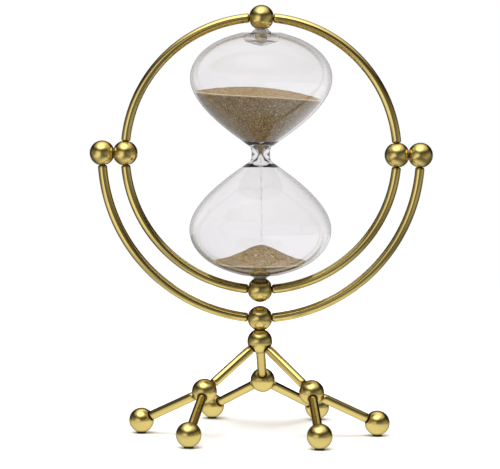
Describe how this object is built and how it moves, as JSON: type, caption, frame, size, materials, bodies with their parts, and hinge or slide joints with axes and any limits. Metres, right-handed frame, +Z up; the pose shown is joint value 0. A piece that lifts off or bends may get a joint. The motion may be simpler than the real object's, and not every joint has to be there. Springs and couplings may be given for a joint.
{
  "type": "hourglass",
  "caption": "Tabletop hourglass: a sealed waisted glass with sand, clamped in a round brass ring that turns over in a half-round cradle on a splayed base of rods and balls.",
  "frame": {"origin": "on the surface the feet stand on, straight below the hub and the middle of the glass", "axes": "+Z up along the glass, +X to the right along the pivot axis, +Y towards the back leg"},
  "size_m": [0.1922, 0.1288, 0.2409],
  "materials": {
    "frame_brass": "satin antique brass, fine brushed",
    "pin_brass": "bare turned brass",
    "clear_glass": "clear, polished",
    "brown_sand": "fine dry grains",
    "silicone": "cloudy, soft",
    "pad_rubber": "matt"
  },
  "bodies": {
    "stand": {"pivot_pin_left": "pin_brass", "pivot_pin_right": "pin_brass", "pivot_washer_left": "pin_brass", "pivot_washer_right": "pin_brass", "cradle_ball_left": "frame_brass", "cradle_ball_right": "frame_brass", "cradle_ball_bottom": "frame_brass", "cradle_tube_left": "frame_brass", "cradle_tube_right": "frame_brass", "coupling_stud": "pin_brass", "hub_ball": "frame_brass", "leg_rod_back": "frame_brass", "leg_rod_front_left": "frame_brass", "leg_rod_front_right": "frame_brass", "knee_ball_back": "frame_brass", "knee_ball_front_left": "frame_brass", "knee_ball_front_right": "frame_brass", "foot_rod_back_left": "frame_brass", "foot_rod_back_right": "frame_brass", "foot_rod_front_left_inner": "frame_brass", "foot_rod_front_left_outer": "frame_brass", "foot_rod_front_right_inner": "frame_brass", "foot_rod_front_right_outer": "frame_brass", "foot_ball_back_left": "frame_brass", "foot_ball_back_right": "frame_brass", "foot_ball_front_left_inner": "frame_brass", "foot_ball_front_left_outer": "frame_brass", "foot_ball_front_right_inner": "frame_brass", "foot_ball_front_right_outer": "frame_brass", "foot_pad_back_left": "pad_rubber", "foot_pad_back_right": "pad_rubber", "foot_pad_front_left_inner": "pad_rubber", "foot_pad_front_left_outer": "pad_rubber", "foot_pad_front_right_inner": "pad_rubber", "foot_pad_front_right_outer": "pad_rubber"},
    "ring": {"glass_vessel": "clear_glass", "glass_plug": "clear_glass", "upper_sand": "brown_sand", "lower_sand": "brown_sand", "sand_stream": "brown_sand", "top_pin": "pin_brass", "bottom_pin": "pin_brass", "top_cushion": "silicone", "bottom_cushion": "silicone", "ring_ball_top": "frame_brass", "ring_ball_bottom": "frame_brass", "ring_ball_left": "frame_brass", "ring_ball_right": "frame_brass", "ring_tube_upper_right": "frame_brass", "ring_tube_upper_left": "frame_brass", "ring_tube_lower_left": "frame_brass", "ring_tube_lower_right": "frame_brass"}
  },
  "joints": [
    {"name": "ring_flip", "type": "hinge", "parent": "stand", "child": "ring", "pos_m": [0, 0, 0.15786], "axis": [1, 0, 0], "continuous": true}
  ]
}
